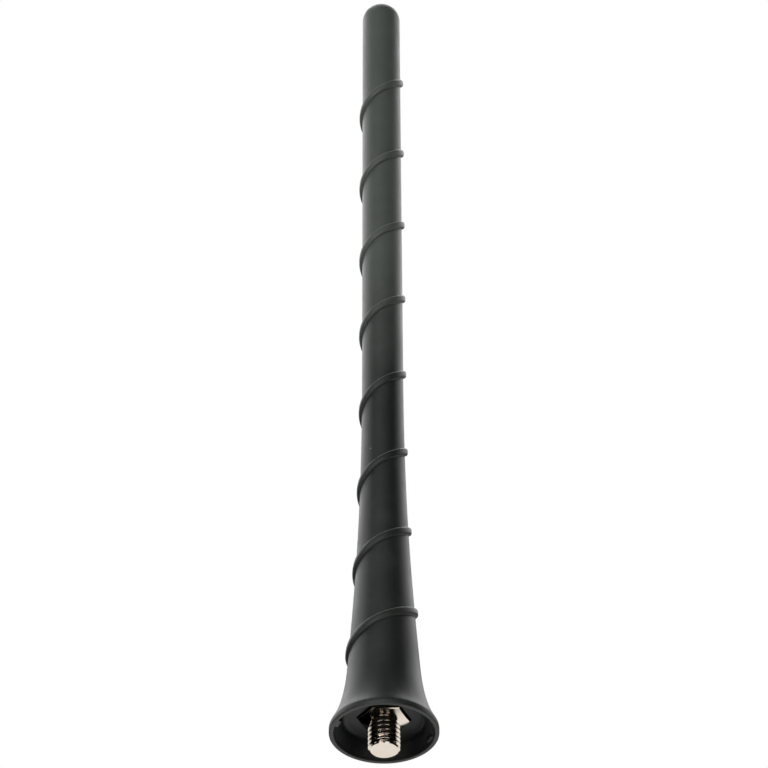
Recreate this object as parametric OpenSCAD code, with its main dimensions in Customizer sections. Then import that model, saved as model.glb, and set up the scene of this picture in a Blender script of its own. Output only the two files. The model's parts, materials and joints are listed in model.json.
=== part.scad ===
// Screw-on rubber mast aerial for a car roof. The moulded mast flares into a bell at
// its foot, and a thin helical rib winds round it to quieten the wind. A turned stud
// stands in the mouth of the bell. Inside, a glass-fibre rod carries the copper winding.
// Z points up the mast. The origin is the centre of the bell's mouth, on the stud's axis,
// and the stud points down. The side of the bell that faces -Y is its near side.

/* [Mast] */
// Length from the mouth of the bell to the tip
mast_len = 150.5; // [132:0.5:200]
// Diameter at the foot of the domed tip
tip_d = 6.4; // [5.8:0.1:8]
// Diameter where the flare of the foot passes into the slender mast
mast_d = 6.7; // [6:0.1:8.5]
// Height of that place above the mouth
taper_top = 69.5; // [60:0.5:100]
// Solid rubber between the end of the rod and the tip
tip_solid = 7.5; // [4:0.5:12]

/* [Bell] */
// Outer diameter of the bell at its mouth
bell_d = 17; // [16:0.5:24]
// Height of the upright band round the rim
rim_h = 0.8; // [0.4:0.1:1.5]
// Thickness of the rim at the mouth
rim_wall = 0.7; // [0.5:0.1:1]
// Diameter where the bell passes into the long taper
waist_d = 11.35; // [10:0.05:12.5]
// Height of that place above the mouth
waist_z = 12; // [10:0.5:18]
// Depth of the bell's floor inside the mouth
floor_in = 2.75; // [2.5:0.05:3.5]
// Diameter of the bell's floor, with the turn of its wall
floor_d = 12.2; // [10:0.1:12.6]

/* [Locating tabs] */
// Width of a tab inside the rim
tab_w = 1.8; // [1:0.1:4]
// How far a tab stands in from the wall at the mouth
tab_in = 0.6; // [0.4:0.1:1.5]
// Height of a tab along the wall
tab_h = 1.2; // [0.6:0.1:2]
// How far the second tab is set back from the mouth
tab_back = 0.4; // [0:0.1:0.6]
// Direction of the second tab, turned from +X towards +Y
tab_angle = 18; // [0:1:60]

/* [Helical rib] */
// Rise of the rib in one turn
rib_pitch = 15.8; // [10:0.1:25]
// Height of the rib's foot above the mouth
rib_foot = 14.5; // [13:0.5:25]
// Distance of the rib's upper end below the tip
rib_top_gap = 17.5; // [10:0.5:40]
// How far the rib stands out of the mast
rib_h = 0.5; // [0.3:0.05:1]
// Width of the rib
rib_w = 1.35; // [0.8:0.05:2]
// Direction of the rib's foot, turned from +X
rib_angle = 180; // [0:1:359]
// Angle over which each end of the rib fades into the mast
rib_fade = 22; // [10:1:60]

/* [Stud] */
// Diameter of the thread
thread_d = 5; // [4:0.5:6]
// How far the stud stands out of the mouth
stud_out = 3.1; // [1.5:0.1:6]
// Width of the chamfer at the end of the stud
stud_chamfer = 0.35; // [0.1:0.05:0.6]
// Length of the smooth neck beside the hexagon
neck_len = 1.1; // [0.6:0.1:1.5]
// Depth of the neck below the crest of the thread
neck_step = 0.45; // [0.2:0.05:0.7]
// Depth of the hexagon's face inside the mouth
hex_in = 2.45; // [1.8:0.05:2.5]
// Width of the hexagon across its flats
hex_af = 7; // [6.5:0.5:8]
// Thickness of the hexagon
hex_h = 2; // [1.5:0.1:3]
// Direction of one corner of the hexagon, turned from +X towards +Y
hex_angle = 6; // [0:1:59]
// Gap between the hexagon and its pocket in the rubber
pocket_gap = 0.25; // [0.1:0.05:0.4]

/* [Anchor shank] */
// Diameter of the shank that the rubber grips
shank_d = 5; // [4.4:0.1:6]
// Length of the shank
shank_len = 12; // [10:0.5:16]
// Width of a groove round the shank
groove_w = 0.9; // [0.4:0.1:1.2]
// Depth of a groove
groove_t = 0.4; // [0.2:0.05:0.6]
// Spacing of the grooves
groove_step = 2; // [1.5:0.1:2.2]
// Depth of the socket for the rod
socket_len = 9; // [5:0.5:9.5]

/* [Rod and winding] */
// Diameter of the glass-fibre rod
rod_d = 2; // [1.6:0.1:2.4]
// Diameter of the copper wire
wire_d = 0.4; // [0.3:0.05:0.5]
// Rise of an open turn of the winding
open_pitch = 6.5; // [4:0.1:12]
// Rise of a close turn of the loading coil
coil_pitch = 2; // [1:0.1:3]
// Length of the loading coil
coil_len = 38; // [20:1:60]
// Distance from the end of the winding to the end of the rod
wire_end_gap = 3; // [1:0.5:8]
// Height of the solder on the end of the shank
solder_h = 0.8; // [0.4:0.1:1.5]
// Wall of the shrink sleeve
sleeve_wall = 0.3; // [0.2:0.05:0.4]
// How far the sleeve reaches down over the shank
sleeve_lap = 3; // [1:0.1:3.2]

/* [Hidden] */
$fn = 96;

// Overrun of a cut past the face that it opens
over = 0.5;
// Gap between rubber and the round face that it is moulded on
mould_fit = 0.02;
// Gap of the rod in its socket, and of the winding and solder on the rod
rod_fit = 0.05;
// Gap of the sleeve on what it is shrunk over
sleeve_fit = 0.05;
// How deep the rib's flat back lies in the mast
rib_sink = 0.2;

// Half of the rib's rounded section: height in shares of rib_h, and place in shares of rib_w
rib_side_shares = [[0.5, 0.48], [0.86, 0.36], [1, 0.15]];

// Handle of the bell's curve over the rim
flare_up_share = 0.06;
// Handles at the waist: the fall and rise of the long taper, and the same line downwards
taper_fall_share = 0.54;
taper_rise_share = 0.28;
waist_down_share = 0.54;
// Handle at the upper end of the taper
taper_end_share = 0.46;
// How far down its wall the cavity turns towards its floor
cavity_turn_share = 0.8;
// Length of the sleeve's shoulder, in shares of its step from the shank to the winding
shoulder_share = 1.5;
// Width of the rod's end chamfers, in shares of its radius
rod_chamfer_share = 0.15;

// Steps along the curves, and in a turn of the rib and of the wire
bell_steps = 10;
taper_steps = 12;
dome_steps = 9;
rib_steps = 24;
wire_steps = 12;
wire_sides = 4;
groove_count = 3;

tip_r = tip_d / 2;
mast_r = mast_d / 2;
bell_r = bell_d / 2;
waist_r = waist_d / 2;
mouth_r = bell_r - rim_wall;
floor_r = floor_d / 2;
taper_len = taper_top - waist_z;
dome_foot = mast_len - tip_r;
rib_turns = (mast_len - rib_top_gap - rib_foot) / rib_pitch;

stud_r = thread_d / 2;
neck_r = stud_r - neck_step;
shank_r = shank_d / 2;
hex_r = hex_af / 2 / cos(30);
pocket_r = hex_r + pocket_gap / cos(30);
hex_top = hex_in + hex_h;
shank_top = hex_top + shank_len;
groove_foot = hex_top + groove_step - groove_w;
socket_floor = shank_top - socket_len;

rod_r = rod_d / 2;
rod_top = mast_len - tip_solid;
wire_r = wire_d / 2;
wind_r = rod_r + rod_fit + wire_r;
wire_foot = shank_top + solder_h + wire_r;
wire_top = rod_top - wire_end_gap;
open_turns = (wire_top - coil_len - wire_foot) / open_pitch;
coil_turns = coil_len / coil_pitch;

// Inner radii of the sleeve over the shank and over the winding, and its heights
sleeve_low_r = shank_r + sleeve_fit;
sleeve_high_r = wind_r + wire_r + sleeve_fit;
sleeve_foot = shank_top - sleeve_lap;
shoulder_foot = shank_top + solder_h;
shoulder_top = shoulder_foot + (sleeve_low_r - sleeve_high_r) * shoulder_share;

// Point of a cubic curve through four handles
function bezier(p, t) =
    pow(1 - t, 3) * p[0] + 3 * pow(1 - t, 2) * t * p[1]
    + 3 * (1 - t) * t * t * p[2] + pow(t, 3) * p[3];

// Side of the mast from the rim to the foot of its dome, as [radius, height]
rim_point = [bell_r, rim_h];
waist_point = [waist_r, waist_z];
waist_handle = [(mast_r - waist_r) * taper_fall_share, taper_len * taper_rise_share];
bell_curve = [
    rim_point,
    rim_point + [0, (waist_z - rim_h) * flare_up_share],
    waist_point - waist_handle * waist_down_share,
    waist_point
];
mast_point = [mast_r, taper_top];
mast_side = [tip_r, dome_foot] - mast_point;
taper_curve = [
    waist_point,
    waist_point + waist_handle,
    mast_point - mast_side * taper_end_share * taper_len / mast_side[1],
    mast_point
];
side_points = concat(
    [[bell_r, 0]],
    [for (i = [0 : bell_steps]) bezier(bell_curve, i / bell_steps)],
    [for (i = [1 : taper_steps]) bezier(taper_curve, i / taper_steps)],
    [[tip_r, dome_foot]]
);
dome_points = [for (i = [1 : dome_steps])
    [tip_r * cos(90 * i / dome_steps), dome_foot + tip_r * sin(90 * i / dome_steps)]];

// Outer radius of the mast at a height
side_table = [for (p = side_points) [p[1], p[0]]];
function side_r(z) = lookup(z, side_table);

// Side of the shank from the hexagon to its end, with its grooves, as [radius, height]
groove_side = [[0, 0], [-groove_t, 0], [-groove_t, groove_w], [0, groove_w]];
shank_side = concat(
    [[shank_r, hex_top]],
    [for (i = [0 : groove_count - 1], p = groove_side)
        [shank_r + p[0], groove_foot + i * groove_step + p[1]]],
    [[shank_r, shank_top]]
);

// One ring of a helical sweep: a section of [outward, across] points at an angle
function helix_ring(radius, angle, height, pitch, section) =
    let (out = [cos(angle), sin(angle), 0],
         along = [-sin(angle) * radius, cos(angle) * radius, pitch / (2 * PI)],
         across = cross(out, along / norm(along)))
    [for (s = section) [0, 0, height] + out * (radius + s[0]) + across * s[1]];

// Solid through a list of rings that all have the same number of points
module swept(rings) {
    n = len(rings[0]);
    last = len(rings) - 1;
    sides = [for (i = [0 : last - 1], j = [0 : n - 1]) each [
        [i * n + j, i * n + (j + 1) % n, (i + 1) * n + j],
        [i * n + (j + 1) % n, (i + 1) * n + (j + 1) % n, (i + 1) * n + j]
    ]];
    foot = [for (j = [n - 1 : -1 : 0]) j];
    head = [for (j = [0 : n - 1]) last * n + j];
    polyhedron(points = [for (ring = rings) each ring], faces = concat(sides, [foot, head]));
}

// The rib: a flat-topped section that follows the side of the mast and sinks at both ends
module rib() {
    fade_turns = rib_fade / 360;
    count = ceil((rib_turns + 2 * fade_turns) * rib_steps);
    half = concat([[-rib_sink, rib_w / 2]], [for (s = rib_side_shares) [s[0] * rib_h, s[1] * rib_w]]);
    section = concat([for (p = half) [p[0], -p[1]]], [for (i = [len(half) - 1 : -1 : 0]) half[i]]);
    swept([for (i = [0 : count])
        let (turn = -fade_turns + (rib_turns + 2 * fade_turns) * i / count,
             height = rib_foot + rib_pitch * turn,
             from_end = min(turn + fade_turns, rib_turns + fade_turns - turn),
             sunk = (rib_h + rib_sink / 2) * max(0, 1 - from_end / fade_turns))
        helix_ring(side_r(height) - sunk, rib_angle + 360 * turn, height, rib_pitch, section)]);
}

// A tab on the inner wall of the bell, in the direction of +X
module tab(back) {
    translate([mouth_r - tab_in, -tab_w / 2, back])
        cube([tab_in + rim_wall / 2, tab_w, tab_h]);
}

// Space inside the bell, open at its mouth
module bell_space() {
    turn_r = mouth_r + (floor_r - mouth_r) * cavity_turn_share;
    turn_z = floor_in * cavity_turn_share;
    rotate_extrude()
        polygon([
            [0, -over],
            [mouth_r, -over],
            [mouth_r, 0],
            [turn_r, turn_z],
            [floor_r - (floor_in - turn_z), floor_in],
            [0, floor_in]
        ]);
}

// Space that the shank, the sleeve and the rod take up in the rubber
module core_space() {
    grip = [for (p = shank_side) if (p[1] < sleeve_foot) [p[0] + mould_fit, p[1]]];
    low_r = sleeve_low_r + sleeve_wall + mould_fit;
    high_r = sleeve_high_r + sleeve_wall + mould_fit;
    rotate_extrude()
        polygon(concat(
            [[0, hex_top - over], [shank_r + mould_fit, hex_top - over]],
            grip,
            [
                [shank_r + mould_fit, sleeve_foot],
                [low_r, sleeve_foot],
                [low_r, shoulder_foot],
                [high_r, shoulder_top],
                [high_r, rod_top],
                [0, rod_top]
            ]
        ));
}

module mast_cover() {
    color("#2a2c2e") {
        difference() {
            union() {
                rotate_extrude()
                    polygon(concat([[0, 0]], side_points, dome_points));
                rib();
            }
            bell_space();
            // Pocket round the hexagon
            translate([0, 0, floor_in - over])
                rotate(hex_angle)
                    cylinder(h = hex_top - floor_in + over, r = pocket_r, $fn = 6);
            core_space();
        }
        rotate(tab_angle)
            tab(tab_back);
        rotate(tab_angle + 180)
            tab(0);
    }
}

module base_stud() {
    color("#c9c4b8")
        difference() {
            union() {
                // Thread at its crest, chamfered at its end, and the smooth neck
                rotate_extrude()
                    polygon([
                        [0, -stud_out],
                        [stud_r - stud_chamfer, -stud_out],
                        [stud_r, stud_chamfer - stud_out],
                        [stud_r, hex_in - neck_len],
                        [neck_r, hex_in - neck_len],
                        [neck_r, hex_in + over],
                        [0, hex_in + over]
                    ]);
                translate([0, 0, hex_in])
                    rotate(hex_angle)
                        cylinder(h = hex_h, r = hex_r, $fn = 6);
                rotate_extrude()
                    polygon(concat(
                        [[0, hex_top - over], [shank_r, hex_top - over]],
                        shank_side,
                        [[0, shank_top]]
                    ));
            }
            // Socket for the rod
            translate([0, 0, socket_floor])
                cylinder(h = socket_len + over, r = rod_r + rod_fit);
        }
}

module core_rod() {
    chamfer = rod_r * rod_chamfer_share;
    color("#d9d6c2")
        rotate_extrude()
            polygon([
                [0, socket_floor],
                [rod_r - chamfer, socket_floor],
                [rod_r, socket_floor + chamfer],
                [rod_r, rod_top - chamfer],
                [rod_r - chamfer, rod_top],
                [0, rod_top]
            ]);
}

// Open turns at the foot of the rod, then the close turns of the loading coil
module aerial_winding() {
    turns = open_turns + coil_turns;
    count = ceil(turns * wire_steps);
    section = [for (i = [0 : wire_sides - 1])
        [wire_r * cos(360 * i / wire_sides), wire_r * sin(360 * i / wire_sides)]];
    color("#a8552c")
        swept([for (i = [0 : count])
            let (turn = turns * i / count,
                 rise = min(turn, open_turns) * open_pitch + max(0, turn - open_turns) * coil_pitch,
                 pitch = turn < open_turns ? open_pitch : coil_pitch)
            helix_ring(wind_r, 360 * turn, wire_foot + rise, pitch, section)]);
}

// Solder that joins the foot of the winding to the end of the shank
module solder_joint() {
    inner_r = rod_r + rod_fit;
    color("#b9bcc0")
        rotate_extrude()
            polygon([
                [inner_r, shank_top],
                [shank_r - sleeve_wall, shank_top],
                [wind_r + wire_r, shank_top + solder_h],
                [inner_r, shank_top + solder_h]
            ]);
}

module shrink_sleeve() {
    color("#1c1c1e")
        rotate_extrude()
            polygon([
                [sleeve_low_r, sleeve_foot],
                [sleeve_low_r + sleeve_wall, sleeve_foot],
                [sleeve_low_r + sleeve_wall, shoulder_foot],
                [sleeve_high_r + sleeve_wall, shoulder_top],
                [sleeve_high_r + sleeve_wall, rod_top],
                [sleeve_high_r, rod_top],
                [sleeve_high_r, shoulder_top],
                [sleeve_low_r, shoulder_foot]
            ]);
}

mast_cover();
base_stud();
core_rod();
aerial_winding();
solder_joint();
shrink_sleeve();
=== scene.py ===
import json
import math

import bmesh
import bpy
import numpy as np
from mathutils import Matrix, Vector


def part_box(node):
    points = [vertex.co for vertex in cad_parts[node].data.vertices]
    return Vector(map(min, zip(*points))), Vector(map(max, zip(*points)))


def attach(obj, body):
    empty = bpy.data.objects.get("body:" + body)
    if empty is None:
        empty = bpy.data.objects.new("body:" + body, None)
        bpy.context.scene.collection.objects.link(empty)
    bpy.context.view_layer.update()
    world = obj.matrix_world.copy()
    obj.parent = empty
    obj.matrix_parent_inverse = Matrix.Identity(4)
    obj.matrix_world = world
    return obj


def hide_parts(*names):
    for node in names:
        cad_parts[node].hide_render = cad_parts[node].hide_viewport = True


# Screw-on rubber mast aerial for a car roof, dressed on its solids.
# Pieces are modelled in millimetres and brought to metres when they are done.

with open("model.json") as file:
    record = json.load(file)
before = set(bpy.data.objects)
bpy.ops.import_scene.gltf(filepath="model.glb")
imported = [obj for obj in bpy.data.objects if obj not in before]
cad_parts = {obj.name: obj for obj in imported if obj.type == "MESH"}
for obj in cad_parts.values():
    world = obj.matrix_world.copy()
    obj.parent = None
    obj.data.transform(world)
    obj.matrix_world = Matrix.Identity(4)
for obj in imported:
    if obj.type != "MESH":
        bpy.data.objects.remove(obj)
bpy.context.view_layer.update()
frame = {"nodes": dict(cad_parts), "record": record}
mm = 0.001


def boxMm(node):
    low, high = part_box(node)
    return low / mm, high / mm


coverHigh = boxMm("mast_cover")[1]
studLow, studHigh = boxMm("base_stud")
rodLow, rodHigh = boxMm("core_rod")
print("frame loaded")


# Camera, placed from the mouth of the bell

cameraView = {
    "lens": 213.8,
    "sensor": 36.0,
    "upward": 37.88,          # degrees that the camera looks up
    "roll": -0.25,            # degrees, the mast's tip leans to the left
    "mouthAway": 699.2,       # along the view
    "mouthBelow": 53.6,       # below the middle of the picture
    "mouthLeft": 0.22,
    "clip": (0.01, 20.0),     # metres
}


def placeCamera(v):
    up = math.radians(v["upward"])
    forward = Vector((0, math.cos(up), math.sin(up)))
    over = Vector((0, -math.sin(up), math.cos(up)))
    spot = -forward * v["mouthAway"] + over * v["mouthBelow"] + Vector((v["mouthLeft"], 0, 0))
    bpy.ops.object.camera_add(location=spot * mm)
    camera = bpy.context.object
    camera.name = "photoCamera"
    camera.rotation_euler = (math.radians(90) + up, 0, 0)
    camera.rotation_euler.rotate_axis("Z", math.radians(v["roll"]))
    camera.data.lens = v["lens"]
    camera.data.sensor_width = v["sensor"]
    camera.data.clip_start, camera.data.clip_end = v["clip"]
    camera.data.dof.use_dof = False
    bpy.context.scene.camera = camera


placeCamera(cameraView)
print("camera placed")


# Modelling, in millimetres

centreR = 0.01                # a ring this small is merged to a point
weldGap = 0.001               # points this near to each other become one
lastWeldGap = 0.0005          # the same, once the piece is whole
cutGap = 1e-5                 # points this near to a cut lie on it
ringGap = 0.01                # edges this near to a cut belong to its ring


def leaveSelection():
    for obj in bpy.context.selected_objects:
        obj.select_set(False)


def focusOn(piece):
    leaveSelection()
    bpy.context.view_layer.objects.active = piece
    piece.select_set(True)


def editPiece(piece):
    focusOn(piece)
    bpy.ops.object.mode_set(mode="EDIT")


def leaveEdit():
    bpy.ops.object.mode_set(mode="OBJECT")


def applyModifier(piece, kind, **settings):
    focusOn(piece)
    modifier = piece.modifiers.new(kind.lower(), kind)
    for key, value in settings.items():
        setattr(modifier, key, value)
    bpy.ops.object.modifier_apply(modifier=modifier.name)


# Adds a second piece to the first or keeps what they share, and takes the second away
def combine(piece, other, operation):
    applyModifier(piece, "BOOLEAN", operation=operation, object=other, solver="EXACT")
    bpy.data.objects.remove(other)


def startPiece(name):
    leaveSelection()
    bpy.ops.mesh.primitive_circle_add(vertices=8, radius=1)
    piece = bpy.context.object
    piece.name = name
    piece.data.name = name
    bpy.ops.object.mode_set(mode="EDIT")
    bpy.ops.mesh.select_mode(type="VERT")
    bpy.ops.mesh.select_all(action="SELECT")
    return piece


# Starts a turned piece from a small ring round the axis
def startRing(name, vertices, height, turned=0.0):
    piece = startPiece(name)
    bpy.ops.mesh.delete(type="VERT")
    bpy.ops.mesh.primitive_circle_add(vertices=vertices, radius=centreR, location=(0, 0, height),
                                      rotation=(0, 0, turned))
    return piece


# Selects the open edges between two heights
def pickOpen(piece, low=-math.inf, high=math.inf):
    bpy.ops.mesh.select_mode(type="EDGE")
    bpy.ops.mesh.select_all(action="DESELECT")
    mesh = bmesh.from_edit_mesh(piece.data)
    for edge in mesh.edges:
        if edge.is_boundary and all(low < vert.co.z < high for vert in edge.verts):
            edge.select_set(True)
    bmesh.update_edit_mesh(piece.data)


# A line of vertices through (radius, height) points in the XZ plane
def drawLine(piece, points):
    bpy.ops.mesh.merge(type="CENTER")
    last = Vector((0, 0, 0))
    for count, (radius, height) in enumerate(points):
        spot = Vector((radius, 0, height))
        step = {"value": spot - last}
        if count == 0:
            bpy.ops.transform.translate(**step)
        else:
            bpy.ops.mesh.extrude_vertices_move(TRANSFORM_OT_translate=step)
        last = spot


# Screws the drawn line up round the axis
def screwUp(piece, pitch, turns, steps):
    leaveEdit()
    applyModifier(piece, "SCREW", axis="Z", screw_offset=pitch, angle=2 * math.pi,
                  steps=steps, render_steps=steps, iterations=turns)
    editPiece(piece)
    bpy.ops.mesh.select_all(action="SELECT")
    bpy.ops.mesh.remove_doubles(threshold=weldGap)


# Cuts a piece level at its foot and its top
def cutLevel(low, high, fill):
    for height, side in ((low, "clear_inner"), (high, "clear_outer")):
        bpy.ops.mesh.select_all(action="SELECT")
        bpy.ops.mesh.bisect(plane_co=(0, 0, height), plane_no=(0, 0, 1), use_fill=fill,
                            threshold=cutGap, **{side: True})


# Extrudes the selected ring and sets it to a radius, a number or a rule of the angle
def growRing(piece, radius, height):
    bpy.ops.mesh.extrude_edges_move(TRANSFORM_OT_translate={"value": (0, 0, 0)})
    mesh = bmesh.from_edit_mesh(piece.data)
    for vert in mesh.verts:
        if vert.select:
            angle = math.atan2(vert.co.y, vert.co.x)
            reach = radius(angle) if callable(radius) else radius
            vert.co = (reach * math.cos(angle), reach * math.sin(angle), height)
    bmesh.update_edit_mesh(piece.data)


def growRings(piece, points):
    for radius, height in points:
        growRing(piece, radius, height)


# Sets the height of the selected ring from each vertex's radius
def dropRing(piece, rule):
    mesh = bmesh.from_edit_mesh(piece.data)
    for vert in mesh.verts:
        if vert.select:
            vert.co.z = rule(math.hypot(vert.co.x, vert.co.y))
    bmesh.update_edit_mesh(piece.data)


# Merges the last ring and the first to points, and turns the faces outwards
def closeEnds(piece):
    bpy.ops.mesh.merge(type="CENTER")
    pickOpen(piece)
    bpy.ops.mesh.merge(type="CENTER")
    bpy.ops.mesh.select_all(action="SELECT")
    bpy.ops.mesh.normals_make_consistent(inside=False)
    leaveEdit()


# Even steps from one value to another, without the first
def stepsTo(low, high, count):
    return [low + (high - low) * i / count for i in range(1, count + 1)]


# Merges doubles, turns the faces outwards, shades and brings the piece to metres
def finishPiece(piece, angle, node):
    editPiece(piece)
    bpy.ops.mesh.select_all(action="SELECT")
    bpy.ops.mesh.remove_doubles(threshold=lastWeldGap)
    bpy.ops.mesh.normals_make_consistent(inside=False)
    leaveEdit()
    piece.scale = (mm, mm, mm)
    bpy.ops.object.transform_apply(location=True, rotation=True, scale=True)
    bpy.ops.object.shade_smooth_by_angle(angle=math.radians(angle))
    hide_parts(node)
    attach(piece, "root")


# Stud: thread, neck, hexagon and the grooved shank

stud = {
    "pitch": 0.8,
    "phase": -0.23,           # lifts the thread to the crests seen on the near side
    "rootFlat": 0.2,
    "crestRound": 0.09,
    "crestArc": 60.0,         # degrees that the crest is rounded to each side
    "depth": 0.46,
    "lead": 2.5,              # turns drawn below its end, before it is cut
    "chamfer": 0.3,
    "runOut": 0.1,            # height in which the thread ends at the neck
    "blankOver": 0.2,         # how far the blank stands out over the crests
    "blankInto": 0.05,        # how far its top ends inside the neck
    "blankSteps": 144,
    "neckR": 2.05,
    "neckFoot": 1.35,
    "neckStep": 0.1,          # the core under the thread is this much slimmer
    "neckEdge": 0.02,         # where the neck is full, below its foot
    "hexFoot": 2.45,
    "hexAcross": 7.0,
    "hexThick": 2.0,
    "hexAngle": 6.0,
    "hexSoft": 0.1,
    "hexCone": 15.0,          # degrees that its turned face falls back from the neck
    "hexRise": 0.47,          # how far the face stands out at the neck
    "shankR": 2.5,
    "shankSoft": 0.1,
    "grooveWidth": 0.9,
    "grooveDeep": 0.4,
    "grooveStep": 2.0,
    "grooves": 3,
    "socketR": 1.05,
    "steps": 72,
    "shadeAngle": 28.0,
}
crestR = frame["record"]["mounts"][0]["dims"]["r_mm"]
hexTop = stud["hexFoot"] + stud["hexThick"]
hexTurn = math.radians(stud["hexAngle"])


# Radius of a hexagon's corners, from half its width across flats
def cornerFrom(half):
    return half / math.cos(math.pi / 6)


def hexagonRule(cornerR, turned):
    flat = cornerR * math.cos(math.pi / 6)
    return lambda angle: flat / math.cos((angle - turned) % (math.pi / 3) - math.pi / 6)


# Moves the nearest vertex of the selected ring onto each corner of a hexagon
def sharpenHexagon(piece, cornerR, turned, height):
    mesh = bmesh.from_edit_mesh(piece.data)
    ring = [vert for vert in mesh.verts if vert.select]
    for side in range(6):
        angle = turned + side * math.pi / 3
        corner = Vector((cornerR * math.cos(angle), cornerR * math.sin(angle), height))
        min(ring, key=lambda vert: (vert.co - corner).length).co = corner
    bmesh.update_edit_mesh(piece.data)


# Rings of the grooves round the shank, as far up as a height
def grooveRings(s, fit, top):
    rings = []
    foot = hexTop + s["grooveStep"] - s["grooveWidth"]
    full = s["shankR"] + fit
    deep = full - s["grooveDeep"]
    for count in range(s["grooves"]):
        low = foot + count * s["grooveStep"]
        high = low + s["grooveWidth"]
        rings += [(full, low), (deep, low), (deep, high), (full, high)]
    return [ring for ring in rings if ring[1] < top]


def makeThread(s):
    piece = startPiece("thread")
    rootR = crestR - s["depth"]
    root = (s["pitch"] - s["rootFlat"]) / 2
    soft = s["crestRound"]
    arc = [math.radians(s["crestArc"]) * i / 4 for i in range(-4, 5)]
    crest = [(crestR - soft + soft * math.cos(a), soft * math.sin(a)) for a in arc]
    outline = [(rootR, -s["pitch"] / 2), (rootR, -root)] + crest + [(rootR, root), (rootR, s["pitch"] / 2)]
    first = studLow.z - s["lead"] * s["pitch"] + s["phase"]
    turns = math.ceil((s["neckFoot"] - first) / s["pitch"]) + 1
    drawLine(piece, [(r, h + first) for r, h in outline])
    screwUp(piece, s["pitch"], turns, s["steps"])
    cutLevel(studLow.z - s["pitch"], s["neckFoot"] + s["runOut"], fill=True)
    bpy.ops.mesh.select_all(action="SELECT")
    bpy.ops.mesh.normals_make_consistent(inside=False)
    leaveEdit()
    return piece


# Turned blank that cuts the thread to length: its chamfered end and the run-out at the neck
def makeBlank(s):
    piece = startRing("blank", s["blankSteps"], studLow.z)
    outR = crestR + s["blankOver"]
    growRings(piece, [(crestR - s["chamfer"], studLow.z), (outR, studLow.z + s["chamfer"] + s["blankOver"]),
                      (outR, s["neckFoot"] - s["runOut"]), (s["neckR"] - s["blankInto"], s["neckFoot"]),
                      (centreR, s["neckFoot"])])
    closeEnds(piece)
    return piece


def makeStud(s):
    thread = makeThread(s)
    combine(thread, makeBlank(s), "INTERSECT")

    low = s["neckFoot"] - s["pitch"]
    piece = startRing("threadedStud", s["steps"], low, hexTurn)
    cornerR = cornerFrom(s["hexAcross"] / 2)
    soft = s["hexSoft"]
    coreR = s["neckR"] - s["neckStep"]
    coneFoot = s["hexFoot"] - s["hexRise"]
    growRings(piece, [(coreR, low), (coreR, s["neckFoot"] - s["neckStep"]),
                      (s["neckR"], s["neckFoot"] - s["neckEdge"]), (s["neckR"], coneFoot)])

    # The face is turned to a flat cone, so it falls back most at the corners
    fall = math.tan(math.radians(s["hexCone"]))
    growRing(piece, crestR, coneFoot + (crestR - s["neckR"]) * fall)
    growRing(piece, hexagonRule(cornerR - soft, hexTurn), coneFoot)
    dropRing(piece, lambda reach: coneFoot + (reach - s["neckR"]) * fall)
    growRing(piece, hexagonRule(cornerR, hexTurn), coneFoot)
    dropRing(piece, lambda reach: coneFoot + (reach - s["neckR"]) * fall + soft)
    for reach, height in [(cornerR, hexTop - soft), (cornerR - soft, hexTop)]:
        growRing(piece, hexagonRule(reach, hexTurn), height)

    # Grooved shank, and the socket that holds the rod
    soft = s["shankSoft"]
    growRings(piece, [(s["shankR"], hexTop)] + grooveRings(s, 0, studHigh.z))
    growRings(piece, [(s["shankR"], studHigh.z - soft), (s["shankR"] - soft, studHigh.z),
                      (s["socketR"], studHigh.z), (s["socketR"], rodLow.z), (centreR, rodLow.z)])
    closeEnds(piece)
    combine(piece, thread, "UNION")
    return piece


# Mast cover: the moulded rubber

cover = {
    "tipR": 3.2,
    "mastR": 3.35,            # where the flare of the foot ends
    "taperTop": 69.5,
    "rimBand": 0.8,
    "rimWall": 0.7,
    "rimRound": 0.13,
    "waistR": 5.675,
    "waistZ": 12.0,
    "flareUp": 0.06,          # handles of the curves, as shares of their spans
    "taperFall": 0.54,
    "taperRise": 0.28,
    "waistDown": 0.54,
    "taperEnd": 0.46,
    "floorZ": 2.75,
    "floorR": 6.1,
    "cavityTurn": 0.8,        # where its wall turns into its floor, as a share of the way
    "pocketGap": 0.25,        # round the hexagon
    "ribPitch": 15.8,
    "ribFoot": 14.5,
    "ribTurns": 7.5,
    "ribAngle": 180.0,        # degrees, where its foot lies
    "ribFade": 22.0,          # degrees in which it fades out past each end
    "ribHeight": 0.5,
    "ribHalf": 0.82,          # half its width, measured up the mast
    "ribFlat": 3.2,           # how flat its top is
    "ribSteep": 0.5,          # how steep its sides are
    # rows over the rib, as shares of its half width, close together at its shoulders
    "ribRows": [0, 0.25, 0.45, 0.6, 0.72, 0.81, 0.88, 0.93, 0.965, 0.99, 1.0, 1.04, 1.3, 1.8, 2.4],
    "gridFoot": 12.0,         # the grid that carries the rib runs from here
    "gridTop": 136.0,         # up to here
    "steps": 96,
    "bellSteps": 20,
    "domeSteps": 16,
    "bendSteps": 4,
    "shadeAngle": 35.0,
}

# What the rubber is moulded round
inside = {
    "mouldFit": 0.02,
    "sleeveLap": 3.0,
    "sleeveFit": 0.05,
    "sleeveWall": 0.3,
    "solder": 0.8,
    "windOut": 1.45,
    "shoulder": 1.575,
}

bellR = coverHigh.x
mouthR = bellR - cover["rimWall"]
mastTop = coverHigh.z
domeFoot = mastTop - cover["tipR"]


def bezier(points, share):
    a, b, c, d = [Vector(p) for p in points]
    rest = 1 - share
    return a * rest ** 3 + b * 3 * rest ** 2 * share + c * 3 * rest * share ** 2 + d * share ** 3


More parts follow.
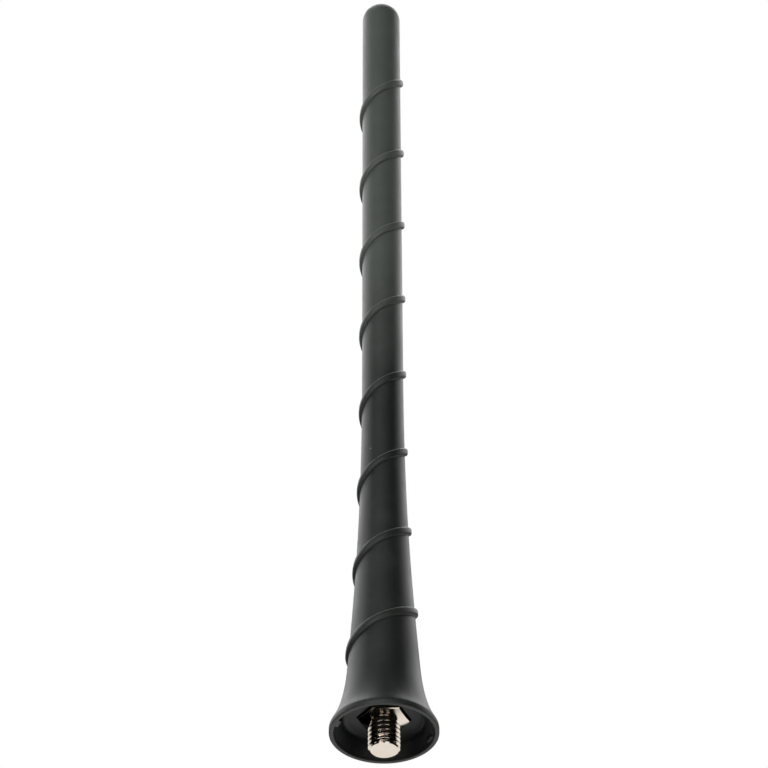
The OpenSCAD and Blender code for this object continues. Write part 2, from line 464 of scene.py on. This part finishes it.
def sideCurves(c):
    rim = Vector((bellR, c["rimBand"]))
    waist = Vector((c["waistR"], c["waistZ"]))
    span = c["taperTop"] - c["waistZ"]
    handle = Vector(((c["mastR"] - c["waistR"]) * c["taperFall"], span * c["taperRise"]))
    flare = Vector((0, (c["waistZ"] - c["rimBand"]) * c["flareUp"]))
    bell = [rim, rim + flare, waist - handle * c["waistDown"], waist]
    end = Vector((c["mastR"], c["taperTop"]))
    slope = (Vector((c["tipR"], domeFoot)) - end) / (domeFoot - c["taperTop"])
    taper = [waist, waist + handle, end - slope * span * c["taperEnd"], end]
    return bell, taper


# Points up the side of the mast, from the rim to the dome
bellCurve, taperCurve = sideCurves(cover)
bellCuts, taperCuts = 60, 120
sidePoints = [bezier(bellCurve, i / bellCuts) for i in range(bellCuts)]
sidePoints += [bezier(taperCurve, i / taperCuts) for i in range(taperCuts + 1)]
sidePoints.append(Vector((cover["tipR"], domeFoot)))


def sideAt(height):
    return float(np.interp(height, [p.y for p in sidePoints], [p.x for p in sidePoints]))


# How much of the rib is there at a point, and how far above the rib's middle the point lies,
# in shares of its half width
def ribPlace(c, angle, height):
    turns = (math.degrees(angle) - c["ribAngle"]) / 360
    along = turns + round((height - c["ribFoot"]) / c["ribPitch"] - turns)
    apart = height - c["ribFoot"] - along * c["ribPitch"]
    fade = c["ribFade"] / 360
    fromEnd = min(along, c["ribTurns"] - along) / fade + 1
    left = min(max(fromEnd, 0), 1)
    return math.sin(left * math.pi / 2), apart / c["ribHalf"]


# Height of the rib over the mast
def ribAt(c, angle, height):
    ease, share = ribPlace(c, angle, height)
    full = max(0, 1 - abs(share) ** c["ribFlat"])
    return c["ribHeight"] * ease * full ** c["ribSteep"]


# A grid wound up the mast along the rib, with its rows close together at the rib's shoulders
def windGrid(piece, c):
    near = [share * c["ribHalf"] for share in c["ribRows"]]
    above = near + stepsTo(near[-1], c["ribPitch"] / 2, c["bendSteps"])
    rows = [-h for h in reversed(above[1:])] + above
    first = c["ribFoot"] - c["ribPitch"] * (c["ribAngle"] / 360 + 1)
    turns = math.ceil((c["gridTop"] - first) / c["ribPitch"]) + 1
    drawLine(piece, [(c["tipR"], first + h) for h in rows])
    screwUp(piece, c["ribPitch"], turns, c["steps"])
    cutLevel(c["gridFoot"], c["gridTop"], fill=False)


# Moves the grid out onto the side of the mast and raises its rib
def raiseSide(piece, c):
    mesh = bmesh.from_edit_mesh(piece.data)
    for vert in mesh.verts:
        angle = math.atan2(vert.co.y, vert.co.x)
        reach = sideAt(vert.co.z) + ribAt(c, angle, vert.co.z)
        vert.co = (reach * math.cos(angle), reach * math.sin(angle), vert.co.z)
    bmesh.update_edit_mesh(piece.data)


# Upper mast and its dome
def growDome(piece, c):
    pickOpen(piece, low=c["gridTop"] - ringGap)
    upper = [(sideAt(h), h) for h in stepsTo(c["gridTop"], domeFoot, c["bendSteps"])]
    quarter = stepsTo(0, math.pi / 2, c["domeSteps"])[:-1]
    dome = [(c["tipR"] * math.cos(a), domeFoot + c["tipR"] * math.sin(a)) for a in quarter]
    growRings(piece, upper + dome + [(centreR, mastTop)])
    bpy.ops.mesh.merge(type="CENTER")


# Bell, rim and the space inside, as far as the bend to its floor
def growBell(piece, c):
    pickOpen(piece, high=c["gridFoot"] + ringGap)
    bell = [tuple(bezier(bellCurve, 1 - share)) for share in stepsTo(0, 1, c["bellSteps"])]
    soft = c["rimRound"]
    corner = [0] + stepsTo(0, math.pi / 2, c["bendSteps"])
    outer = [(bellR - soft + soft * math.cos(a), soft - soft * math.sin(a)) for a in corner]
    inner = [(mouthR + soft - soft * math.sin(a), soft - soft * math.cos(a)) for a in corner]
    turnR = mouthR + (c["floorR"] - mouthR) * c["cavityTurn"]
    turnZ = c["floorZ"] * c["cavityTurn"]
    wall = list(zip(stepsTo(mouthR, turnR, c["bendSteps"]), stepsTo(soft, turnZ, c["bendSteps"])))
    floorEdge = c["floorR"] - (c["floorZ"] - turnZ)
    bend = [(turnR + (floorEdge - turnR) * (1 - math.cos(a)), turnZ + (c["floorZ"] - turnZ) * math.sin(a))
            for a in corner[1:]]
    growRings(piece, bell + outer + inner + wall + bend)


# Pocket round the hexagon, and the space that shank, sleeve and rod take up
def growBore(piece, c, i):
    pocketR = cornerFrom(stud["hexAcross"] / 2 + c["pocketGap"])
    for height in (c["floorZ"], hexTop):
        growRing(piece, hexagonRule(pocketR, hexTurn), height)
        sharpenHexagon(piece, pocketR, hexTurn, height)
    grip = stud["shankR"] + i["mouldFit"]
    sleeveFoot = studHigh.z - i["sleeveLap"]
    shoulder = studHigh.z + i["solder"]
    lowR = stud["shankR"] + i["sleeveFit"] + i["sleeveWall"] + i["mouldFit"]
    highR = i["windOut"] + i["sleeveFit"] + i["sleeveWall"] + i["mouldFit"]
    growRings(piece, [(grip, hexTop)] + grooveRings(stud, i["mouldFit"], sleeveFoot))
    growRings(piece, [(grip, sleeveFoot), (lowR, sleeveFoot), (lowR, shoulder),
                      (highR, shoulder + i["shoulder"]), (highR, rodHigh.z), (centreR, rodHigh.z)])
    bpy.ops.mesh.merge(type="CENTER")


def makeCover(c):
    piece = startPiece("mastCover")
    windGrid(piece, c)
    raiseSide(piece, c)
    growDome(piece, c)
    growBell(piece, c)
    growBore(piece, c, inside)
    leaveEdit()
    return piece


coverPiece = makeCover(cover)
print("mast cover modelled")
studPiece = makeStud(stud)
print("stud modelled")

# Tabs inside the rim
tabs = {
    "width": 1.8,
    "inwards": 0.6,
    "height": 1.2,
    "bite": 0.35,             # how deep it stands in the wall
    "soft": 0.15,
    "softSteps": 3,
    "places": [(18.0, 0.4), (201.0, 0.0)],    # direction in degrees, and how far it is set back
}


def addTab(piece, t, degrees, back):
    depth = t["inwards"] + t["bite"]
    leaveSelection()
    bpy.ops.mesh.primitive_cube_add(
        size=1, location=(mouthR + t["bite"] - depth / 2, 0, back + t["height"] / 2))
    tab = bpy.context.object
    tab.dimensions = (depth, t["width"], t["height"])
    bpy.ops.object.transform_apply(location=True, rotation=True, scale=True)
    bpy.ops.object.mode_set(mode="EDIT")
    bpy.ops.mesh.select_all(action="SELECT")
    bpy.ops.mesh.bevel(offset=t["soft"], segments=t["softSteps"])
    bpy.ops.transform.rotate(value=-math.radians(degrees), orient_axis="Z", center_override=(0, 0, 0))
    leaveEdit()
    combine(piece, tab, "UNION")


for degrees, back in tabs["places"]:
    addTab(coverPiece, tabs, degrees, back)
print("tabs joined")

# Marks the painted highlights: pale lines along the shoulders of the rib and along the rim, stronger on the
# upper shoulder, which the light from above reaches
paintedHighlight = {
    # strength of the painted highlight on the upper shoulder, the lower shoulder and the rim
    "upper": 0.5,
    "lower": 0.15,
    "rim": 0.3,
    "rimOver": 0.02,          # the mark reaches this far over the rim's inner edge
    "shoulder": (0.7, 1.01),  # from where to where, in shares of the rib's half width
}


def markPaintedHighlight(piece, r):
    marks = piece.data.attributes.new("paintedHighlight", "FLOAT", "POINT")
    begins, ends = r["shoulder"]
    for vert, mark in zip(piece.data.vertices, marks.data):
        reach = math.hypot(vert.co.x, vert.co.y)
        ease, share = ribPlace(cover, math.atan2(vert.co.y, vert.co.x), vert.co.z)
        if vert.co.z < cover["rimRound"] / 2 and reach > mouthR - r["rimOver"]:
            mark.value = r["rim"]
        elif reach > cover["tipR"] and begins < abs(share) < ends:
            mark.value = ease * (r["upper"] if share > 0 else r["lower"])


markPaintedHighlight(coverPiece, paintedHighlight)
finishPiece(coverPiece, cover["shadeAngle"], "mast_cover")
finishPiece(studPiece, stud["shadeAngle"], "base_stud")


# Materials

noiseSpan = (0.3, 0.7)        # nearly all of a noise lies between these


def toLinear(hexColour):
    parts = [int(hexColour[i:i + 2], 16) / 255 for i in (1, 3, 5)]
    return [p / 12.92 if p <= 0.04045 else ((p + 0.055) / 1.055) ** 2.4 for p in parts] + [1]


def startMaterial(name):
    material = bpy.data.materials.new(name)
    material.use_nodes = True
    material.node_tree.nodes.clear()
    return material


# Adds a node with its settings, its input values and the links into it
def addNode(tree, kind, settings=None, inputs=None):
    node = tree.nodes.new(kind)
    for name, value in (settings or {}).items():
        setattr(node, name, value)
    for name, value in (inputs or {}).items():
        if isinstance(value, bpy.types.NodeSocket):
            tree.links.new(value, node.inputs[name])
        else:
            node.inputs[name].default_value = value
    return node


def dress(piece, material):
    piece.data.materials.clear()
    piece.data.materials.append(material)


# Moulded rubber: satin from the polished mould, so the light draws wide bands along its sides
rubber = {
    "colour": "#161a18",
    "paintedLight": "#565c57",       # painted light: the upper mast made paler, as where the light from above falls
    "paintedLightMm": (58.0, 96.0),  # where it begins and where it is full
    "paintedLightMost": 0.85,
    "patchMm": 6.0,
    "patchLift": 0.25,        # how uneven the patches make the painted light
    "dust": "#9a9a94",
    "dustMm": 6.0,            # from one speck to the next
    "dustSize": (0.015, 0.03),    # where a speck is full and where it ends, in shares of dustMm
    "dustMost": 0.45,
    "paintedHighlight": "#8a8e88",      # painted highlight along the edges
    "roughness": (0.44, 0.52),
    "ior": 1.5,
    "grainMm": 0.25,          # coarser than the mould's real grain, so that it shows
    "grainDeepMm": 0.03,
    "grainStrength": 0.25,
}


def mouldedRubber(m):
    material = startMaterial("mouldedRubber")
    tree = material.node_tree
    place = addNode(tree, "ShaderNodeTexCoord").outputs["Object"]
    patches = addNode(tree, "ShaderNodeTexNoise", inputs={
        "Vector": place, "Scale": 1 / (m["patchMm"] * mm), "Detail": 4.0, "Roughness": 0.6})

    # Painted light from above: the rubber turns paler gradually up the mast, with an uneven border
    parts = addNode(tree, "ShaderNodeSeparateXYZ", inputs={"Vector": place})
    low, high = [h * mm for h in m["paintedLightMm"]]
    rise = addNode(tree, "ShaderNodeMapRange", {"interpolation_type": "SMOOTHSTEP"}, {
        "Value": parts.outputs["Z"], "From Min": low, "From Max": high,
        "To Min": 0.0, "To Max": m["paintedLightMost"]})
    spread = addNode(tree, "ShaderNodeMapRange", inputs={
        "Value": patches.outputs["Fac"], "From Min": noiseSpan[0], "From Max": noiseSpan[1],
        "To Min": -m["patchLift"] / 2, "To Max": m["patchLift"] / 2})
    share = addNode(tree, "ShaderNodeMath", {"operation": "ADD", "use_clamp": True}, {
        0: rise.outputs["Result"], 1: spread.outputs["Result"]})
    base = addNode(tree, "ShaderNodeMix", {"data_type": "RGBA"}, {
        0: share.outputs["Value"], 6: toLinear(m["colour"]), 7: toLinear(m["paintedLight"])})

    # Specks of dust, then the painted highlights along the edges over them
    specks = addNode(tree, "ShaderNodeTexVoronoi", inputs={
        "Vector": place, "Scale": 1 / (m["dustMm"] * mm)})
    dot = addNode(tree, "ShaderNodeMapRange", inputs={
        "Value": specks.outputs["Distance"], "From Min": m["dustSize"][0], "From Max": m["dustSize"][1],
        "To Min": m["dustMost"], "To Max": 0.0})
    dusty = addNode(tree, "ShaderNodeMix", {"data_type": "RGBA"}, {
        0: dot.outputs["Result"], 6: base.outputs[2], 7: toLinear(m["dust"])})
    paintedHighlightMark = addNode(tree, "ShaderNodeAttribute", {"attribute_name": "paintedHighlight"})
    highlightedColour = addNode(tree, "ShaderNodeMix", {"data_type": "RGBA"}, {
        0: paintedHighlightMark.outputs["Fac"], 6: dusty.outputs[2], 7: toLinear(m["paintedHighlight"])})

    grain = addNode(tree, "ShaderNodeTexNoise", inputs={
        "Vector": place, "Scale": 1 / (m["grainMm"] * mm), "Detail": 3.0, "Roughness": 0.6})
    bump = addNode(tree, "ShaderNodeBump", inputs={
        "Height": grain.outputs["Fac"], "Strength": m["grainStrength"], "Distance": m["grainDeepMm"] * mm})
    matt = addNode(tree, "ShaderNodeMapRange", inputs={
        "Value": patches.outputs["Fac"], "From Min": noiseSpan[0], "From Max": noiseSpan[1],
        "To Min": m["roughness"][0], "To Max": m["roughness"][1]})
    shader = addNode(tree, "ShaderNodeBsdfPrincipled", inputs={
        "Base Color": highlightedColour.outputs[2], "Roughness": matt.outputs["Result"],
        "Normal": bump.outputs["Normal"], "IOR": m["ior"]})
    addNode(tree, "ShaderNodeOutputMaterial", inputs={"Surface": shader.outputs["BSDF"]})
    return material


# Nickel plating on turned brass: warm, bright, with fine rings from the lathe
nickel = {
    "colour": "#e6ddd2",
    "shade": "#ddd0c0",
    "patchMm": 1.5,
    "roughness": 0.1,
    "ringMm": 0.16,           # wider than the real tool marks, so that they show
    "ringDeepMm": 0.02,
    "ringStrength": 0.12,
    "ringWander": 0.6,
}
waveLength = 0.31             # from ring to ring in a wave texture at a scale of 1


def nickelPlate(m):
    material = startMaterial("nickelPlate")
    tree = material.node_tree
    place = addNode(tree, "ShaderNodeTexCoord").outputs["Object"]
    cloud = addNode(tree, "ShaderNodeTexNoise", inputs={
        "Vector": place, "Scale": 1 / (m["patchMm"] * mm), "Detail": 3.0})
    base = addNode(tree, "ShaderNodeMix", {"data_type": "RGBA"}, {
        0: cloud.outputs["Fac"], 6: toLinear(m["colour"]), 7: toLinear(m["shade"])})
    rings = addNode(tree, "ShaderNodeTexWave", {"wave_type": "RINGS", "rings_direction": "Z"}, {
        "Vector": place, "Scale": waveLength / (m["ringMm"] * mm),
        "Distortion": m["ringWander"], "Detail": 2.0})
    bump = addNode(tree, "ShaderNodeBump", inputs={
        "Height": rings.outputs["Fac"], "Strength": m["ringStrength"], "Distance": m["ringDeepMm"] * mm})
    shader = addNode(tree, "ShaderNodeBsdfPrincipled", inputs={
        "Base Color": base.outputs[2], "Metallic": 1.0, "Roughness": m["roughness"],
        "Normal": bump.outputs["Normal"]})
    addNode(tree, "ShaderNodeOutputMaterial", inputs={"Surface": shader.outputs["BSDF"]})
    return material


# Glass-fibre rod, pultruded: long pale fibres in a yellow resin, so it shows fine streaks
# along its length
glassRod = {
    "colours": ("#cfc596", "#e6e0c6"),    # resin and fibre
    "acrossMm": 0.12,         # bundles of fibres, because a single one is too fine to show
    "alongMm": 9.0,
    "roughness": (0.3, 0.45),
    "deepMm": 0.02,
    "plain": {"IOR": 1.52},   # set on the shader as they are
}

# Enamelled wire, drawn and varnished: copper under a clear amber coat, so it shines twice
enamelWire = {
    "colours": ("#b4653a", "#8f4526"),    # copper, bright and dark
    "acrossMm": 2.5,
    "alongMm": 2.5,
    "roughness": (0.22, 0.34),
    "deepMm": 0.01,
    "plain": {"Metallic": 1.0, "Coat Weight": 1.0, "Coat Roughness": 0.08,
              "Coat Tint": toLinear("#e8a868")},
}

# Tin solder, run on hot and set: bright with dull frosted patches and a little brown flux
tinSolder = {
    "colours": ("#c3c5c8", "#7a6238"),    # tin and flux
    "acrossMm": 0.9,
    "alongMm": 0.9,
    "roughness": (0.18, 0.5),
    "deepMm": 0.05,
    "plain": {"Metallic": 0.9},
}

# Shrink tube, drawn tight by heat: dark and satin, with faint drawn lines along it
shrinkTube = {
    "colours": ("#1c1c1d", "#2b2b2c"),    # the tube and its drawn lines
    "acrossMm": 0.3,
    "alongMm": 6.0,
    "roughness": (0.42, 0.55),
    "deepMm": 0.03,
    "plain": {"IOR": 1.5},
}
innerStrength = 0.3           # of the relief on the pieces inside the rubber


# Finish of a piece inside the rubber: one noise, drawn out along the mast, gives colour, gloss
# and relief
def innerFinish(name, m):
    material = startMaterial(name)
    tree = material.node_tree
    place = addNode(tree, "ShaderNodeTexCoord").outputs["Object"]
    across, along = 1 / (m["acrossMm"] * mm), 1 / (m["alongMm"] * mm)
    scaled = addNode(tree, "ShaderNodeVectorMath", {"operation": "MULTIPLY"}, {
        0: place, 1: (across, across, along)})
    noise = addNode(tree, "ShaderNodeTexNoise", inputs={
        "Vector": scaled.outputs["Vector"], "Scale": 1.0, "Detail": 3.0, "Roughness": 0.55})
    share = addNode(tree, "ShaderNodeMapRange", inputs={
        "Value": noise.outputs["Fac"], "From Min": noiseSpan[0], "From Max": noiseSpan[1],
        "To Min": 0.0, "To Max": 1.0})
    colour = addNode(tree, "ShaderNodeMix", {"data_type": "RGBA"}, {
        0: share.outputs["Result"], 6: toLinear(m["colours"][0]), 7: toLinear(m["colours"][1])})
    matt = addNode(tree, "ShaderNodeMapRange", inputs={
        "Value": noise.outputs["Fac"], "From Min": noiseSpan[0], "From Max": noiseSpan[1],
        "To Min": m["roughness"][0], "To Max": m["roughness"][1]})
    bump = addNode(tree, "ShaderNodeBump", inputs={
        "Height": noise.outputs["Fac"], "Strength": innerStrength, "Distance": m["deepMm"] * mm})
    shader = addNode(tree, "ShaderNodeBsdfPrincipled", inputs={
        "Base Color": colour.outputs[2], "Roughness": matt.outputs["Result"],
        "Normal": bump.outputs["Normal"], **m["plain"]})
    addNode(tree, "ShaderNodeOutputMaterial", inputs={"Surface": shader.outputs["BSDF"]})
    return material


dress(coverPiece, mouldedRubber(rubber))
dress(studPiece, nickelPlate(nickel))
dress(frame["nodes"]["core_rod"], innerFinish("glassFibreRod", glassRod))
dress(frame["nodes"]["aerial_winding"], innerFinish("enamelledCopper", enamelWire))
dress(frame["nodes"]["solder_joint"], innerFinish("tinSolder", tinSolder))
dress(frame["nodes"]["shrink_sleeve"], innerFinish("shrinkTube", shrinkTube))
print("materials made")


# Studio: white behind and below the object, dark overhead and on the camera's side

studio = {
    "floorDrop": 1.0,                     # metres below the mouth, out of the upward view
    "floorSize": 12.0,
    "floorColour": "#f2f2f0",
    "floorGlow": 0.6,                     # for the camera alone
    "brightWay": (0.0, 1.0, 0.0),         # middle of the white side
    "brightFrom": (0.35, 0.65),
    "lowFrom": (-0.25, -0.05),            # the white fades out a little above the horizon
    "darkBand": -0.3,                     # upright dark band left of the middle
    "darkHalf": (0.11, 0.17),
    "aimHeight": 0.07,                    # metres up the mast
    # name, place as degrees round from behind, degrees up and metres away, size in metres, watts
    "lamps": [
        ("leftBox", (-85, 35, 1.0), (0.8, 0.6), 2.9),
        ("backBox", (-25, 35, 1.0), (0.4, 0.6), 0.35),
        ("backdrop", (0, 42, 1.0), (0.4, 0.5), 0.6),
        ("backTop", (0, 70, 0.9), (0.5, 0.35), 3.0),
        ("rightBox", (77, 35, 1.0), (0.5, 0.6), 1.3),
        ("lowLeft", (-162, 16, 0.98), (0.7, 0.4), 3.7),
        ("lowRight", (162, 16, 0.98), (0.4, 0.4), 1.0),
        ("besideLeft", (-150, -44, 1.0), (0.4, 0.7), 1.0),
        ("besideRight", (150, -44, 1.0), (0.4, 0.7), 1.0),
        ("overhead", (-110, 72, 1.0), (0.6, 0.4), 0.9),
        ("topLeft", (-42, 50, 0.46), (0.2, 0.25), 0.42),
        ("topRight", (42, 50, 0.46), (0.2, 0.25), 0.46),
    ],
}
white = (1, 1, 1, 1)


# How far a direction lies along a way, eased from 0 to 1 between two limits
def alongWay(tree, direction, way, limits):
    dot = addNode(tree, "ShaderNodeVectorMath", {"operation": "DOT_PRODUCT"}, {
        0: direction, 1: Vector(way).normalized()})
    return addNode(tree, "ShaderNodeMapRange", {"interpolation_type": "SMOOTHSTEP"}, {
        "Value": dot.outputs["Value"], "From Min": limits[0], "From Max": limits[1],
        "To Min": 0.0, "To Max": 1.0}).outputs["Result"]


# Strength of the room's light in a direction
def roomLight(tree, direction, s):
    bright = alongWay(tree, direction, s["brightWay"], s["brightFrom"])
    across = addNode(tree, "ShaderNodeVectorMath", {"operation": "DOT_PRODUCT"}, {
        0: direction, 1: (1, 0, 0)})
    apart = addNode(tree, "ShaderNodeMath", {"operation": "SUBTRACT"}, {
        0: across.outputs["Value"], 1: s["darkBand"]})
    far = addNode(tree, "ShaderNodeMath", {"operation": "ABSOLUTE"}, {0: apart.outputs["Value"]})
    clear = addNode(tree, "ShaderNodeMapRange", {"interpolation_type": "SMOOTHSTEP"}, {
        "Value": far.outputs["Value"], "From Min": s["darkHalf"][0], "From Max": s["darkHalf"][1],
        "To Min": 0.0, "To Max": 1.0})
    low = alongWay(tree, direction, (0, 0, -1), s["lowFrom"])
    both = addNode(tree, "ShaderNodeMath", {"operation": "MULTIPLY"}, {
        0: bright, 1: clear.outputs["Result"]})
    whole = addNode(tree, "ShaderNodeMath", {"operation": "MULTIPLY"}, {
        0: both.outputs["Value"], 1: low})
    return whole.outputs["Value"]


def makeWorld(s):
    world = bpy.data.worlds.new("studioLight")
    bpy.context.scene.world = world
    world.use_nodes = True
    tree = world.node_tree
    tree.nodes.clear()
    direction = addNode(tree, "ShaderNodeTexCoord").outputs["Generated"]
    around = addNode(tree, "ShaderNodeBackground", inputs={
        "Color": white, "Strength": roomLight(tree, direction, s)})
    plain = addNode(tree, "ShaderNodeBackground", inputs={"Color": white, "Strength": 1.0})
    path = addNode(tree, "ShaderNodeLightPath")
    mix = addNode(tree, "ShaderNodeMixShader", inputs={
        0: path.outputs["Is Camera Ray"], 1: around.outputs["Background"],
        2: plain.outputs["Background"]})
    addNode(tree, "ShaderNodeOutputWorld", inputs={"Surface": mix.outputs["Shader"]})


def makeFloor(s):
    leaveSelection()
    bpy.ops.mesh.primitive_plane_add(size=s["floorSize"], location=(0, 0, -s["floorDrop"]))
    floor = bpy.context.object
    floor.name = "studioFloor"
    material = startMaterial("paleFloor")
    tree = material.node_tree
    matt = addNode(tree, "ShaderNodeBsdfDiffuse", inputs={"Color": toLinear(s["floorColour"])})
    glow = addNode(tree, "ShaderNodeEmission", inputs={"Color": white, "Strength": s["floorGlow"]})
    pale = addNode(tree, "ShaderNodeAddShader", inputs={
        0: matt.outputs["BSDF"], 1: glow.outputs["Emission"]})

    # In reflections the floor carries on the room's light and dark
    place = addNode(tree, "ShaderNodeNewGeometry").outputs["Position"]
    way = addNode(tree, "ShaderNodeVectorMath", {"operation": "NORMALIZE"}, {0: place})
    mirrored = addNode(tree, "ShaderNodeEmission", inputs={
        "Color": white, "Strength": roomLight(tree, way.outputs["Vector"], s)})
    path = addNode(tree, "ShaderNodeLightPath")
    seen = addNode(tree, "ShaderNodeMixShader", inputs={
        0: path.outputs["Is Camera Ray"], 1: matt.outputs["BSDF"], 2: pale.outputs["Shader"]})
    mix = addNode(tree, "ShaderNodeMixShader", inputs={
        0: path.outputs["Is Glossy Ray"], 1: seen.outputs["Shader"], 2: mirrored.outputs["Emission"]})
    addNode(tree, "ShaderNodeOutputMaterial", inputs={"Surface": mix.outputs["Shader"]})
    dress(floor, material)


def makeLamps(s):
    for name, (around, rise, away), size, watts in s["lamps"]:
        turn, up = math.radians(around), math.radians(rise)
        place = Vector((math.sin(turn) * math.cos(up), math.cos(turn) * math.cos(up), math.sin(up))) * away
        leaveSelection()
        bpy.ops.object.light_add(type="AREA", location=place)
        lamp = bpy.context.object
        lamp.name = name
        lamp.data.shape = "RECTANGLE"
        lamp.data.size, lamp.data.size_y = size
        lamp.data.energy = watts
        aim = Vector((0, 0, s["aimHeight"])) - place
        lamp.rotation_euler = aim.to_track_quat("-Z", "Y").to_euler()


makeWorld(studio)
makeFloor(studio)
makeLamps(studio)
bpy.context.scene.view_settings.view_transform = "Standard"
print("studio set")
